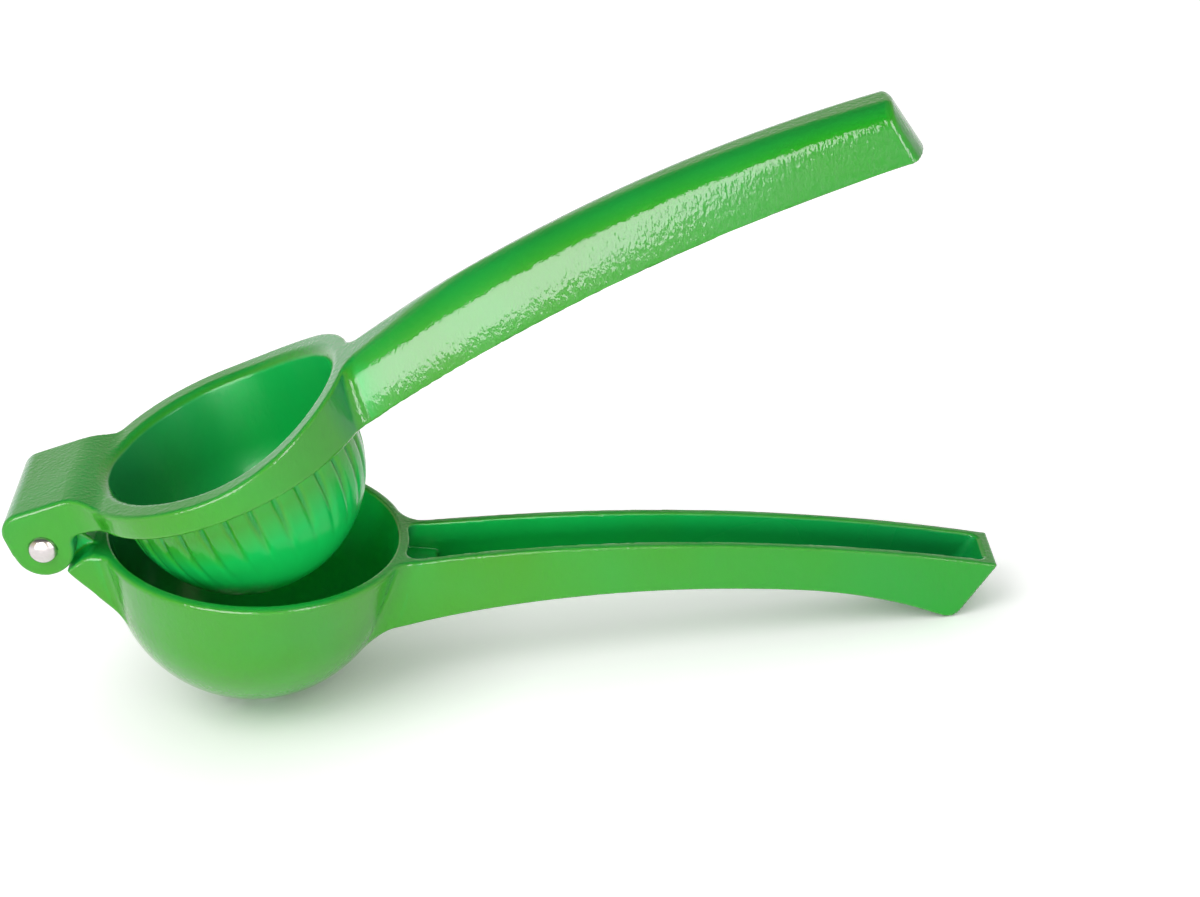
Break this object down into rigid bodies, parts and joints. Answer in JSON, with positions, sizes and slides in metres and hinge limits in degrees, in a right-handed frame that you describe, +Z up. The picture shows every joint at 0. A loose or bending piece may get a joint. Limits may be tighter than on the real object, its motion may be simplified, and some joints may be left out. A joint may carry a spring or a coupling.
{
  "type": "lever citrus press",
  "caption": "Hand-held lever citrus press in green enamelled cast metal: a drained bowl with a channel handle, hinged by a rivet to a ringed, grooved press cup with a matching handle.",
  "frame": {"origin": "on the table, under the middle of the press's box as it lies on its bowl and on the heel of its lower handle", "axes": "+X from the hinge toward the handle ends, +Y across the press along the hinge pin, +Z up from the table"},
  "size_m": [0.2032, 0.0652, 0.116],
  "materials": {
    "enamel": "glossy green enamel over cast aluminium",
    "rivet_steel": "bright turned steel"
  },
  "bodies": {
    "lower": {"bowl_arm": "enamel"},
    "upper": {"press_arm": "enamel", "hinge_rivet": "rivet_steel"}
  },
  "joints": [
    {"name": "arm_hinge", "type": "hinge", "parent": "lower", "child": "upper", "pos_m": [-0.09373, 0, 0.04507], "axis": [0, -1, 0], "range_deg": [-25, 105]}
  ]
}
